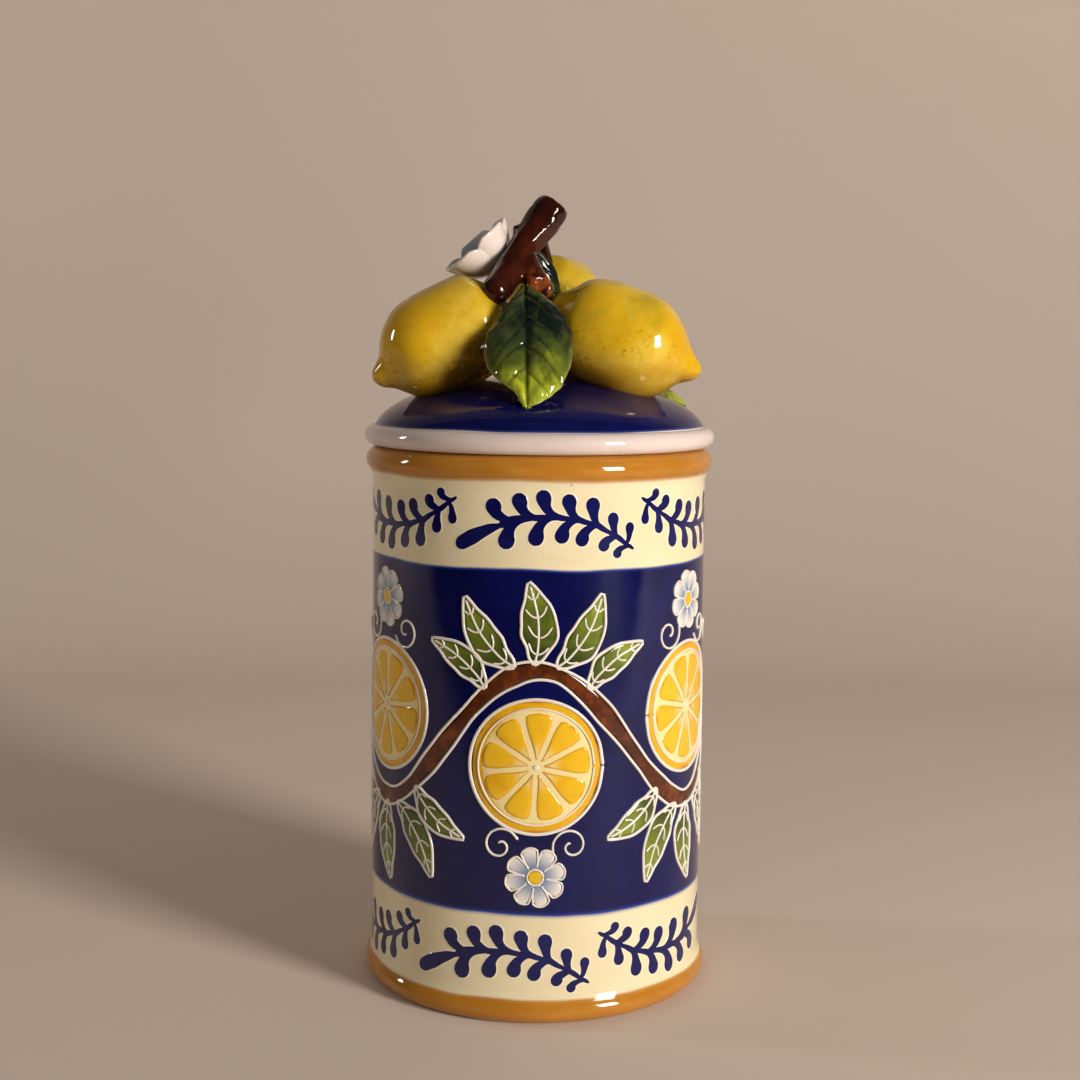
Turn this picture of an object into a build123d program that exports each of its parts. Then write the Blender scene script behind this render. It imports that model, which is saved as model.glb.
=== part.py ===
from build123d import *
import os
from math import cos, radians, sin, sqrt

# Lidded ceramic canister. The lid's knob is a sculpted cluster of lemons, leaves, a branch and a blossom.
# Millimetres, +Z up. The origin is the centre of the foot, and the front faces -Y.

# Jar
body_radius = 60.0
wall = 5.0
bearing_height = 192.0  # the plane where the lid rests on the rim
base_thickness = 6.0
foot_overhang = 2.3  # how far the foot reaches past the wall
foot_roll_radius = 4.2
foot_recess = 2.5
foot_ring_width = 6.5
rim_overhang = 2.4  # how far the rim reaches past the wall
rim_roll_radius = 5.0
cove_radius = 9.0  # hollow curve between the wall and each roll
floor_corner_radius = 6.0
mouth_edge_radius = 1.3

# Lid
lid_overhang = 0.7  # how far the lid reaches past the rim
lid_roll_radius = 3.6
dome_inset = 3.1  # from the lid's edge in to the dome
dome_rise = 21.0
dome_base_lift = 4.0  # centre of the dome's ellipse above the bearing plane
dome_wall = 5.5
spigot_clearance = 2.0
spigot_wall = 4.5
spigot_depth = 14.0
spigot_edge_radius = 1.3

# Seal ring in the spigot's groove
groove_drop = 4.5  # from the bearing plane down to the groove
groove_height = 5.0
groove_depth = 1.6
seal_slack = 0.1
seal_band = 1.5
seal_fin_thickness = 0.9
seal_fin_count = 3
seal_mouth_gap = 0.2

# Lemons
lemon_length = 58.0
lemon_girth_share = 0.3103  # radius over length
lemon_tip_radius = 3.4
lemon_wall = 4.2
vent_radius = 1.5
lemon_outline_shares = [
    (0.00, 0.24), (0.07, 0.33), (0.17, 0.66), (0.30, 0.92), (0.46, 1.00),
    (0.63, 0.91), (0.77, 0.65), (0.87, 0.32),
]  # along the length from the neck, and out from the axis
lemon_belly_share = 0.46
lemon_hollow_shares = [(0.17, 0.30), (0.30, 0.86), (0.46, 1.00), (0.63, 0.84), (0.77, 0.30)]
lemon_place_shares = {
    "lemon_left": (-0.595, -0.233, 0.99, 186.7, 32.5),
    "lemon_right": (0.528, -0.284, 0.99, -8.4, 26.6),
    "lemon_back": (0.114, 0.414, 1.24, 85.0, 48.0),
}  # plan place over a lemon's length, height over its radius, turn and dip in degrees

# Branch, its places in shares of a lemon's length from the knot where the necks meet
branch_radius = 5.0
fork_radius = 4.0
twig_radius = 2.3
stalk_radius = 2.2
main_place_shares = [
    (0.082, 0.062, 0.481),
    (-0.049, 0.018, 0.310),
    (-0.137, -0.103, 0.131),
    (-0.250, -0.265, -0.040),
]
fork_place_shares = [(-0.100, -0.050, 0.190), (-0.045, -0.128, 0.075), (0.017, -0.172, -0.030)]
twig_place_shares = [(0.000, 0.060, 0.330), (0.040, 0.130, 0.230), (0.052, 0.178, 0.140)]
stalk_place_shares = [(-0.110, -0.040, 0.180), (-0.210, 0.040, 0.165), (-0.310, 0.102, 0.160)]

# Leaves: places near the knot have three shares, places on the dome have two
leaf_thickness = 2.4
leaf_front_width = 30.5
leaf_front_bow = 4.5
leaf_right_width = 21.0
leaf_right_bow = 5.0
leaf_top_width = 14.0
leaf_top_bow = 1.5
leaf_cup_radius = 34.0  # curve across a leaf
leaf_outline_shares = [
    (0.00, 0.10), (0.12, 0.38), (0.28, 0.76), (0.45, 0.97), (0.60, 0.98), (0.75, 0.76), (0.87, 0.36),
]  # along the length from the base, and out from the midrib over half the width
leaf_front_facing = Vector(0, -0.8, 0.6)
leaf_right_facing = Vector(0.4, 0, 0.9)
leaf_top_facing = Vector(0.3, -0.9, 0.2)
leaf_front_base_shares = (-0.092, -0.240, 0.020)
leaf_front_tip_shares = (-0.070, -0.860)
leaf_right_base_shares = (0.215, 0.150)
leaf_right_tip_shares = (0.908, 0.190)
leaf_top_base_shares = (-0.020, 0.090, 0.245)
leaf_top_tip_shares = (0.045, 0.130, -0.270)

# Blossom
flower_radius = 13.2
flower_depth = 9.5
petal_thickness = 1.9
petal_count = 5
petal_lobe_share = 0.47
flower_turn = 18.0
flower_facing = (-0.66, -0.12, 0.74)
button_radius = 3.3
button_height = 2.8
button_round_share = 0.7

overrun = 10.0  # how far cutters run past what they cut

# Places that follow from the sizes
lemon_radius = lemon_length * lemon_girth_share
foot_radius = body_radius + foot_overhang
rim_radius = body_radius + rim_overhang
lid_radius = rim_radius + lid_overhang
dome_radius = lid_radius - dome_inset
inner_radius = body_radius - wall
floor_height = foot_recess + base_thickness
foot_roll_x = foot_radius - foot_roll_radius
foot_ring_inner = foot_roll_x - foot_ring_width
rim_roll_x = rim_radius - rim_roll_radius
rim_roll_z = bearing_height - rim_roll_radius
spigot_radius = inner_radius - spigot_clearance
spigot_bore = spigot_radius - spigot_wall
spigot_foot = bearing_height - spigot_depth
groove_top = bearing_height - groove_drop
groove_foot = groove_top - groove_height
groove_radius = spigot_radius - groove_depth
lid_roll_x = lid_radius - lid_roll_radius
lid_roll_z = bearing_height + lid_roll_radius
dome_base = bearing_height + dome_base_lift
dome_top = dome_base + dome_rise
dome_inner_radius = dome_radius - dome_wall
dome_inner_rise = dome_rise - dome_wall

os.makedirs("parts", exist_ok=True)


def cove_points(roll_x, roll_z, roll_radius, side):
    """Where a cove leaves the wall and meets a roll: side 1 is above the roll, side -1 below it."""
    cove_x = body_radius + cove_radius
    reach = roll_radius + cove_radius
    cove_z = roll_z + side * sqrt(reach**2 - (cove_x - roll_x) ** 2)
    on_roll_x = roll_x + (cove_x - roll_x) * roll_radius / reach
    on_roll_z = roll_z + (cove_z - roll_z) * roll_radius / reach
    return (body_radius, cove_z), (on_roll_x, on_roll_z)


def dome_height(x, y):
    """Height of the dome's outer surface above a place in plan."""
    return dome_base + dome_rise * sqrt(1 - (x**2 + y**2) / dome_radius**2)


def on_dome(place_shares):
    """The point of the dome's surface at a plan place given in shares of its radius."""
    x = place_shares[0] * dome_radius
    y = place_shares[1] * dome_radius
    return Vector(x, y, dome_height(x, y))


def pointing(turn, dip):
    """Unit direction, turned about Z from +X and dipped below the horizontal, in degrees."""
    level = cos(radians(dip))
    return Vector(level * cos(radians(turn)), level * sin(radians(turn)), -sin(radians(dip)))


def by_knot(place_shares):
    """A point near the knot where the necks meet, in shares of a lemon's length."""
    return knot + Vector(*place_shares) * lemon_length


# Jar body: one thrown wall with a rolled foot, a rolled rim and a recessed base
foot_wall, foot_meet = cove_points(foot_roll_x, foot_roll_radius, foot_roll_radius, 1)
rim_wall, rim_meet = cove_points(rim_roll_x, rim_roll_z, rim_roll_radius, -1)

with BuildPart() as jar_body:
    with BuildSketch(Plane.XZ):
        with BuildLine():
            Polyline(
                (0, floor_height),
                (0, foot_recess),
                (foot_ring_inner - foot_recess, foot_recess),
                (foot_ring_inner, 0),
                (foot_roll_x, 0),
            )
            ThreePointArc((foot_roll_x, 0), (foot_radius, foot_roll_radius), foot_meet)
            RadiusArc(foot_meet, foot_wall, cove_radius)
            Line(foot_wall, rim_wall)
            RadiusArc(rim_wall, rim_meet, cove_radius)
            ThreePointArc(rim_meet, (rim_radius, rim_roll_z), (rim_roll_x, bearing_height))
            FilletPolyline(
                (rim_roll_x, bearing_height),
                (inner_radius, bearing_height),
                (inner_radius, floor_height),
                (0, floor_height),
                radius=[mouth_edge_radius, floor_corner_radius],
            )
        make_face()
    revolve(axis=Axis.Z)

jar_body.part.label = "jar_body"
export_step(jar_body.part, "parts/jar_body.step")

# Lid shell: a hollow dome with a thick edge roll, a spigot for the mouth and a groove for the seal
vent_places = [(x * lemon_length, y * lemon_length) for x, y, *rest in lemon_place_shares.values()]

with BuildPart() as lid_shell:
    with BuildSketch(Plane.XZ):
        with Locations((0, dome_base)):
            Ellipse(dome_radius, dome_rise)
        with Locations((lid_roll_x, lid_roll_z)):
            Circle(lid_roll_radius)
        with Locations((0, bearing_height)):
            Rectangle(2 * lid_roll_x, lid_roll_radius, align=(Align.CENTER, Align.MIN))
        with Locations((0, bearing_height)):
            Rectangle(4 * lid_radius, 2 * dome_radius, align=(Align.CENTER, Align.MAX), mode=Mode.SUBTRACT)
        with Locations((0, bearing_height)):
            Rectangle(2 * spigot_radius, spigot_depth, align=(Align.CENTER, Align.MAX))
        with BuildSketch(mode=Mode.PRIVATE) as hollow:
            with Locations((0, dome_base)):
                Ellipse(dome_inner_radius, dome_inner_rise)
                Rectangle(2 * spigot_bore, 2 * dome_inner_rise, mode=Mode.INTERSECT)
                Rectangle(2 * spigot_bore, dome_base - spigot_foot, align=(Align.CENTER, Align.MAX))
        add(hollow.sketch, mode=Mode.SUBTRACT)
        with Locations((groove_radius, groove_foot)):
            Rectangle(2 * groove_depth, groove_height, align=Align.MIN, mode=Mode.SUBTRACT)
        split(bisect_by=Plane.YZ, keep=Keep.TOP)
    revolve(axis=Axis.Z)
    spigot_edges = edges().filter_by(GeomType.CIRCLE).group_by(Axis.Z)[0]
    fillet(spigot_edges, radius=spigot_edge_radius)
    with BuildSketch(Plane.XY.offset(bearing_height)):
        with Locations(*vent_places):
            Circle(vent_radius)
    extrude(amount=dome_top - bearing_height, mode=Mode.SUBTRACT)

lid_shell.part.label = "lid_shell"
export_step(lid_shell.part, "parts/lid_shell.step")

# Seal: a soft band in the groove with fins that reach the mouth
seal_radius = groove_radius + seal_slack
seal_height = groove_height - 2 * seal_slack
fin_pitch = (seal_height - seal_fin_thickness) / (seal_fin_count - 1)
fin_reach = inner_radius - seal_mouth_gap - seal_radius

with BuildPart() as lid_seal:
    with BuildSketch(Plane.XZ):
        with Locations((seal_radius, groove_foot + seal_slack)):
            Rectangle(seal_band, seal_height, align=Align.MIN)
        for fin in range(seal_fin_count):
            with Locations((seal_radius, groove_foot + seal_slack + fin * fin_pitch)):
                Rectangle(fin_reach, seal_fin_thickness, align=Align.MIN)
    revolve(axis=Axis.Z)

lid_seal.part.label = "lid_seal"
export_step(lid_seal.part, "parts/lid_seal.step")

# Lemons: hollow castings, each fitted to the dome, with a vent through the dome below it
lemons = []
necks = []
for name, (x_share, y_share, stand_share, turn, dip) in lemon_place_shares.items():
    along = pointing(turn, dip)
    centre_x = x_share * lemon_length
    centre_y = y_share * lemon_length
    centre = Vector(centre_x, centre_y, dome_height(centre_x, centre_y) + stand_share * lemon_radius)
    neck = centre - along * lemon_length * lemon_belly_share
    lemon_plane = Plane(origin=neck, x_dir=along, z_dir=along.cross(Vector(0, 0, 1)))
    outline = [(x * lemon_length, y * lemon_radius) for x, y in lemon_outline_shares]
    hollow = [(x * lemon_length, y * (lemon_radius - lemon_wall)) for x, y in lemon_hollow_shares]
    tip_start = lemon_length - lemon_tip_radius
    with BuildPart() as lemon:
        with BuildSketch(lemon_plane):
            with BuildLine():
                Spline(*outline, (tip_start, lemon_tip_radius))
                CenterArc((tip_start, 0), lemon_tip_radius, 0, 90)
                Polyline((lemon_length, 0), (0, 0), outline[0])
            make_face()
        revolve(axis=Axis(neck, along))
        add(lid_shell.part, mode=Mode.SUBTRACT)
        with BuildSketch(lemon_plane):
            with BuildLine():
                Spline(*hollow)
                Polyline(hollow[-1], (hollow[-1][0], 0), (hollow[0][0], 0), hollow[0])
            make_face()
        revolve(axis=Axis(neck, along), mode=Mode.SUBTRACT)
        with BuildSketch(Plane.XY.offset(bearing_height)):
            with Locations((centre_x, centre_y)):
                Circle(vent_radius)
        extrude(amount=centre.Z - bearing_height, mode=Mode.SUBTRACT)
    lemon.part.label = name
    export_step(lemon.part, f"parts/{name}.step")
    lemons.append(lemon.part)
    necks.append(neck)

knot = (necks[0] + necks[1] + necks[2]) * (1 / 3)


def limb(place_shares, radius):
    """A round limb: straight runs between places, with a ball at each bend and at both ends."""
    points = [by_knot(place) for place in place_shares]
    for start, end in zip(points, points[1:]):
        with BuildSketch(Plane(origin=start, z_dir=end - start)) as section:
            Circle(radius)
        extrude(section.sketch, amount=(end - start).length)
    with Locations(*points):
        Sphere(radius)


# Branch: one piece with a main limb, a fork, a twig and the blossom's stalk
with BuildPart() as branch:
    limb(main_place_shares, branch_radius)
    limb(fork_place_shares, fork_radius)
    limb(twig_place_shares, twig_radius)
    limb(stalk_place_shares, stalk_radius)
    for lemon_part in lemons:
        add(lemon_part, mode=Mode.SUBTRACT)

branch.part.label = "branch"
export_step(branch.part, "parts/branch.step")


def leaf_part(base, tip, facing, width, bow, neighbours):
    """A thin leaf from base to tip, bowed along its length and curved across it, fitted to its neighbours."""
    length = (tip - base).length
    along = (tip - base).normalized()
    normal = (facing - along * facing.dot(along)).normalized()
    middle = (base + tip) * 0.5
    bow_radius = (bow**2 + (length / 2) ** 2) / (2 * bow)
    outline = [((x - 0.5) * length, y * width / 2) for x, y in leaf_outline_shares]
    with BuildPart() as leaf:
        with BuildSketch(Plane(origin=middle, x_dir=along, z_dir=normal.cross(along) * -1)):
            with Locations((0, bow - bow_radius)):
                Circle(bow_radius)
                Circle(bow_radius - leaf_thickness, mode=Mode.SUBTRACT)
            Rectangle(length + 2 * overrun, 2 * bow + 2 * overrun, mode=Mode.INTERSECT)
        revolve(axis=Axis(middle + normal * (bow - leaf_cup_radius), along))
        with BuildSketch(Plane(origin=middle - normal * overrun, x_dir=along, z_dir=normal)):
            with BuildLine():
                Spline(*outline, (length / 2, 0))
                Line((-length / 2, 0), outline[0])
                mirror(about=Plane.XZ)
            make_face()
        extrude(amount=2 * overrun, mode=Mode.INTERSECT)
        for neighbour in neighbours:
            add(neighbour, mode=Mode.SUBTRACT)
    return leaf.part


# Leaves, each fitted to what it lies on
solid_neighbours = [lid_shell.part, *lemons, branch.part]

leaf_front = leaf_part(
    by_knot(leaf_front_base_shares),
    on_dome(leaf_front_tip_shares) + Vector(0, 0, leaf_thickness / 4),
    leaf_front_facing,
    leaf_front_width,
    leaf_front_bow,
    solid_neighbours,
)
leaf_front.label = "leaf_front"
export_step(leaf_front, "parts/leaf_front.step")

leaf_right = leaf_part(
    on_dome(leaf_right_base_shares),
    on_dome(leaf_right_tip_shares),
    leaf_right_facing,
    leaf_right_width,
    leaf_right_bow,
    solid_neighbours,
)
leaf_right.label = "leaf_right"
export_step(leaf_right, "parts/leaf_right.step")

leaf_top = leaf_part(
    by_knot(leaf_top_base_shares),
    by_knot(leaf_top_tip_shares),
    leaf_top_facing,
    leaf_top_width,
    leaf_top_bow,
    solid_neighbours,
)
leaf_top.label = "leaf_top"
export_step(leaf_top, "parts/leaf_top.step")

# Blossom: a cup cut to five lobes, with a button in it
flower_axis = Vector(*flower_facing).normalized()
flower_foot = by_knot(stalk_place_shares[-1]) + flower_axis * (stalk_radius / 2)
cup_radius = (flower_radius**2 + flower_depth**2) / (2 * flower_depth)
cup_inner_radius = cup_radius - petal_thickness
flower_level = Vector(0, 0, 1).cross(flower_axis).normalized()
flower_plane = Plane(origin=flower_foot, x_dir=flower_level, z_dir=flower_axis)
cup_plane = Plane(origin=flower_foot, x_dir=flower_level, z_dir=flower_level.cross(flower_axis))

with BuildPart() as flower_petals:
    with BuildSketch(cup_plane):
        with Locations((0, cup_radius)):
            Circle(cup_radius)
            Circle(cup_inner_radius, mode=Mode.SUBTRACT)
        Rectangle(flower_radius, flower_depth, align=Align.MIN, mode=Mode.INTERSECT)
    revolve(axis=Axis(flower_foot, flower_axis))
    with BuildSketch(flower_plane):
        Circle(flower_radius * petal_lobe_share)
        with PolarLocations(flower_radius * (1 - petal_lobe_share), petal_count, start_angle=flower_turn):
            Circle(flower_radius * petal_lobe_share)
    extrude(amount=flower_depth, mode=Mode.INTERSECT)
    for neighbour in [*solid_neighbours, leaf_top]:
        add(neighbour, mode=Mode.SUBTRACT)

flower_petals.part.label = "flower_petals"
export_step(flower_petals.part, "parts/flower_petals.step")

button_lift = cup_radius - sqrt(cup_inner_radius**2 - button_radius**2)

with BuildPart() as flower_centre:
    with BuildSketch(flower_plane.offset(button_lift)):
        Circle(button_radius)
    extrude(amount=button_height)
    button_edges = edges().filter_by(GeomType.CIRCLE).sort_by(Axis(flower_foot, flower_axis))
    fillet(button_edges[-1], radius=button_height * button_round_share)

flower_centre.part.label = "flower_centre"
export_step(flower_centre.part, "parts/flower_centre.step")
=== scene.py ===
import bpy
from math import ceil, cos, pi, radians, sin, sqrt, tau
from mathutils import Matrix, Quaternion, Vector


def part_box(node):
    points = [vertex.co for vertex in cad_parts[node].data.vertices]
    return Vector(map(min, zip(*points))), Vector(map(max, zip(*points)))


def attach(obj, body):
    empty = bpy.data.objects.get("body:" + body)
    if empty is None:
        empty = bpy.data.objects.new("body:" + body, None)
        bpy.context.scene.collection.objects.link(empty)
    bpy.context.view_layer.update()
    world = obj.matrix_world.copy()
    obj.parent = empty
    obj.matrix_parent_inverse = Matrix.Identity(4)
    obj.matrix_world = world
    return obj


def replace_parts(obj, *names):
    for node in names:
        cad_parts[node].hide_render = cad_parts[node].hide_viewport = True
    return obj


# Looks of the lidded canister: glazes, painted ornament and the sculpted lemon knob. Metres, +Z up.
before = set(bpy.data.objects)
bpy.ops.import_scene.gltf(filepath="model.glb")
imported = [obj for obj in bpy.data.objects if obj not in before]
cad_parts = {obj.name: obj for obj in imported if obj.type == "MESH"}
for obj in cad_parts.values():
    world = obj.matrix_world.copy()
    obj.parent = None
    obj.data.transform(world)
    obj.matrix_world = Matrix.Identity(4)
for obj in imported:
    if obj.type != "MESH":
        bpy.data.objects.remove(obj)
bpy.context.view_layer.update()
mm = 0.001
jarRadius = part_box("jar_body")[1].x - 2.4 * mm  # the straight wall, inside the rolls


def linked(name, data):
    made = bpy.data.objects.new(name, data)
    bpy.context.collection.objects.link(made)
    return made


# Camera, at the photograph's viewing angle
cameraSetup = {
    "distance": 0.6128, "height": 0.2297, "yaw": 0.036, "pitch": 4.887, "roll": 0.568,
    "lens": 56.43, "sensor": 36.0, "shiftY": -0.0512,
}


def addCamera(setup):
    data = bpy.data.cameras.new("camera")
    data.sensor_width = setup["sensor"]
    data.lens = setup["lens"]
    data.shift_y = setup["shiftY"]
    camera = linked("camera", data)
    camera.matrix_world = Matrix.Translation((0, -setup["distance"], setup["height"]))
    for angle, axis in ((-setup["yaw"], "Z"), (90 - setup["pitch"], "X"), (setup["roll"], "Z")):
        camera.matrix_world @= Matrix.Rotation(radians(angle), 4, axis)
    bpy.context.scene.camera = camera


addCamera(cameraSetup)
bpy.context.scene.view_settings.view_transform = "Standard"
print("camera placed")


# Hand tools
def pick(piece, *others):
    if bpy.context.mode != "OBJECT":
        bpy.ops.object.mode_set(mode="OBJECT")
    bpy.ops.object.select_all(action="DESELECT")
    for one in (piece, *others):
        one.select_set(True)
    bpy.context.view_layer.objects.active = piece


def edit(piece, action="SELECT"):
    pick(piece)
    bpy.ops.object.mode_set(mode="EDIT")
    bpy.ops.mesh.select_mode(type="VERT")
    bpy.ops.mesh.select_all(action=action)


def doneEditing():
    bpy.ops.object.mode_set(mode="OBJECT")


def selectWhere(piece, test):
    # selects the points that pass the test, and the edges between them
    edit(piece, "DESELECT")
    doneEditing()
    for vertex in piece.data.vertices:
        vertex.select = test(vertex.co)
    for line in piece.data.edges:
        line.select = all(piece.data.vertices[i].select for i in line.vertices)
    bpy.ops.object.mode_set(mode="EDIT")


def applyPlace(piece):
    pick(piece)
    bpy.ops.object.transform_apply(location=True, rotation=True, scale=True)


def cleanUp(piece):
    # merges doubles and turns every face outwards
    edit(piece)
    bpy.ops.mesh.remove_doubles(threshold=0.00001)
    bpy.ops.mesh.normals_make_consistent(inside=False)
    doneEditing()


def modify(piece, kind, **settings):
    pick(piece)
    modifier = piece.modifiers.new(kind.lower(), kind)
    for name, value in settings.items():
        setattr(modifier, name, value)
    bpy.ops.object.modifier_apply(modifier=modifier.name)


def bend(piece, axis, angle):
    modify(piece, "SIMPLE_DEFORM", deform_method="BEND", deform_axis=axis, angle=angle)


def smoothed(piece, levels=1):
    modify(piece, "SUBSURF", levels=levels, render_levels=levels)


def lumpy(piece, size, height, **how):
    clouds = bpy.data.textures.new("clouds", "CLOUDS")
    clouds.noise_scale = size
    modify(piece, "DISPLACE", texture=clouds, strength=height, mid_level=0.5, **how)


def settle(piece, name, material, angle=60):
    # place goes into the mesh, the object stays at the origin
    applyPlace(piece)
    bpy.ops.object.shade_smooth_by_angle(angle=radians(angle))
    piece.name = name
    piece.data.name = name
    piece.data.materials.clear()
    piece.data.materials.append(material)


def joinAll(pieces):
    pick(*pieces)
    if len(pieces) > 1:
        bpy.ops.object.join()
    return bpy.context.view_layer.objects.active


def roundBar(points, radii, sides):
    # a round bar along points, as thick as radii say, made a mesh
    curve = bpy.data.curves.new("bar", "CURVE")
    curve.dimensions = "3D"
    curve.bevel_depth = 1.0
    curve.bevel_resolution = (sides - 4) // 2
    curve.resolution_u = 6
    curve.use_fill_caps = True
    spline = curve.splines.new("NURBS")
    spline.points.add(len(points) - 1)
    for point, place, radius in zip(spline.points, points, radii):
        point.co = (*place, 1)
        point.radius = radius
    spline.order_u = 3
    spline.use_endpoint_u = True
    pick(linked("bar", curve))
    bpy.ops.object.convert(target="MESH")
    return bpy.context.view_layer.objects.active


def standingSheet(columns, rows, width, length, middle=0.0):
    # a flat grid in the xz plane, its middle at that height
    bpy.ops.mesh.primitive_grid_add(x_subdivisions=columns, y_subdivisions=rows, size=1)
    sheet = bpy.context.active_object
    sheet.scale = (width, length, 1)
    sheet.rotation_euler = (radians(90), 0, 0)
    sheet.location = (0, 0, middle)
    applyPlace(sheet)
    return sheet


def mark(piece, name, values):
    # gives every point a value that the materials can read
    piece.data.attributes.new(name, "FLOAT", "POINT").data.foreach_set("value", values)


# Nodes
def feed(node, wired):
    # gives each input a value or the socket that feeds it
    for name, value in wired.items():
        if isinstance(value, bpy.types.NodeSocket):
            node.id_data.links.new(value, node.inputs[name])
        else:
            node.inputs[name].default_value = value
    return node


def addNode(tree, kind, wired=None, **settings):
    new = tree.nodes.new(kind)
    for name, value in settings.items():
        setattr(new, name, value)
    return feed(new, wired or {})


def calc(operation, *values):
    tree = next(value.id_data for value in values if isinstance(value, bpy.types.NodeSocket))
    return addNode(tree, "ShaderNodeMath", dict(enumerate(values)), operation=operation).outputs[0]


def times(first, *others):
    for other in others:
        first = calc("MULTIPLY", first, other)
    return first


def swayed(value, cloud, amount):
    # a value that a noise moves up and down
    return calc("MULTIPLY_ADD", calc("SUBTRACT", cloud, 0.5), amount, value)


def axesOf(vector):
    return addNode(vector.id_data, "ShaderNodeSeparateXYZ", {0: vector}).outputs


def vectorCalc(operation, first, second):
    return addNode(first.id_data, "ShaderNodeVectorMath", {0: first, 1: second}, operation=operation).outputs


def marksOf(place, *names):
    nodes = [addNode(place.id_data, "ShaderNodeAttribute", attribute_name=name) for name in names]
    return [node.outputs["Fac"] for node in nodes]


def noise(place, scale, detail=2.0, roughness=0.5, stretch=(1, 1, 1), turn=(0, 0, 0)):
    laid = addNode(place.id_data, "ShaderNodeMapping", {"Vector": place, "Scale": stretch, "Rotation": turn})
    wired = {"Vector": laid.outputs[0], "Scale": scale, "Detail": detail, "Roughness": roughness}
    return addNode(place.id_data, "ShaderNodeTexNoise", wired).outputs["Fac"]


def spread(value, low, high, start=0.0, end=1.0, kind="SMOOTHSTEP"):
    wired = {"Value": value, "From Min": low, "From Max": high, "To Min": start, "To Max": end}
    return addNode(value.id_data, "ShaderNodeMapRange", wired, interpolation_type=kind).outputs[0]


def coated(colour, *coats):
    # coats are (share, colour), each laid over what is under it
    for share, coat in coats:
        wired = {0: share, 6: colour, 7: coat}
        colour = addNode(share.id_data, "ShaderNodeMix", wired, data_type="RGBA").outputs[2]
    return colour


def ramp(value, stops):
    new = addNode(value.id_data, "ShaderNodeValToRGB", {"Fac": value})
    elements = new.color_ramp.elements
    while len(elements) < len(stops):
        elements.new(1.0)
    for element, (place, colour) in zip(elements, stops):
        element.position = place
        element.color = colour
    return new.outputs[0]


def linear(red, green, blue):
    # a colour as a screen shows it, 0 to 255, made linear
    shares = [channel / 255 for channel in (red, green, blue)]
    return (*[s / 12.92 if s <= 0.04045 else ((s + 0.055) / 1.055) ** 2.4 for s in shares], 1.0)


def colours(**mixed):
    return {name: linear(*colour) for name, colour in mixed.items()}


def shaderOf(material):
    return material.node_tree.nodes["Principled BSDF"]


def newMaterial(name, roughness=0.06):
    material = bpy.data.materials.new(name)
    material.use_nodes = True
    feed(shaderOf(material), {"Roughness": roughness, "IOR": 1.5})
    return material, addNode(material.node_tree, "ShaderNodeTexCoord").outputs["Object"]


# Brushed glaze: a colour that pools and thins, with pinholes, and the fired surface's slow waves
brushedGlaze = {
    "cloudSize": 38.0, "strokeSize": 60.0, "waveSize": 26.0, "grainSize": 420.0, "grainHeight": 0.012,
    "pinhole": linear(60, 40, 25), "pinholeSize": 160.0, "pinholeDepth": 0.06, "roughness": (0.035, 0.09),
}


def finishGlaze(material, place, colour, thin=None, pool=0.0, specks=0.0, waves=0.0006, setup=brushedGlaze):
    if thin is None:
        thin = colour
    clouds = spread(noise(place, setup["cloudSize"], 3.0), 0.35, 0.72)
    strokes = spread(noise(place, setup["strokeSize"], 3.0, stretch=(1, 1, 5)), 0.42, 0.75)
    thinness = times(calc("MAXIMUM", clouds, strokes), pool)
    wired = {"Vector": place, "Scale": setup["pinholeSize"]}
    dots = addNode(place.id_data, "ShaderNodeTexVoronoi", wired).outputs["Distance"]
    chosen = spread(noise(place, 55.0, 1.0), 0.62, 0.66)
    pin = times(spread(dots, 0.06, 0.11, 1.0, 0.0), chosen, specks)
    grain = times(noise(place, setup["grainSize"], 2.0), setup["grainHeight"])
    height = calc("ADD", noise(place, setup["waveSize"], 2.0), grain)
    height = calc("SUBTRACT", height, times(pin, setup["pinholeDepth"]))
    wired = {"Height": height, "Distance": waves, "Strength": 1.0}
    feed(shaderOf(material), {
        "Base Color": coated(colour, (thinness, thin), (pin, setup["pinhole"])),
        "Roughness": spread(noise(place, 90.0, 4.0), 0.3, 0.7, *setup["roughness"]),
        "Normal": addNode(place.id_data, "ShaderNodeBump", wired).outputs[0],
    })
    return material


# Jar glaze: bands by height, the inside cream, the ring under the foot bare clay
jarGlaze = {
    **colours(navy=(9, 12, 66), navyThin=(16, 22, 92), edgeBlue=(30, 62, 150), clay=(196, 150, 112),
              cream=(234, 222, 186), creamThin=(226, 210, 166), ochre=(176, 117, 36),
              ochreThin=(206, 142, 58)),
    "footTop": 8.0 * mm, "panelFoot": 36.8 * mm, "panelTop": 154.4 * mm, "rimFoot": 183.5 * mm,
    "blur": 0.22 * mm, "edgeLine": 0.8 * mm, "wobble": 1.5 * mm, "bandsTop": 200 * mm,
    "bareTop": 0.3 * mm, "bareWobble": 0.6 * mm, "wall": 3 * mm,
}


def bandStops(setup, suffix=""):
    navy, cream, ochre = (setup[name + suffix] for name in ("navy", "cream", "ochre"))
    blur, line, edge = setup["blur"], setup["edgeLine"], setup["edgeBlue"]
    foot, low, high, rim = (setup[name] for name in ("footTop", "panelFoot", "panelTop", "rimFoot"))
    heights = [
        (foot - blur, ochre), (foot + blur, cream), (low - blur, cream), (low + blur, edge),
        (low + line, edge), (low + 2 * line, navy), (high - line, navy), (high - 2 * blur, edge),
        (high - blur, edge), (high + blur, cream), (rim - blur, cream), (rim + blur, ochre),
    ]
    return [(height / setup["bandsTop"], colour) for height, colour in heights]


def squareReach(axes):
    # the distance from the jar's axis, squared
    return calc("ADD", times(axes["X"], axes["X"]), times(axes["Y"], axes["Y"]))


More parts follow.
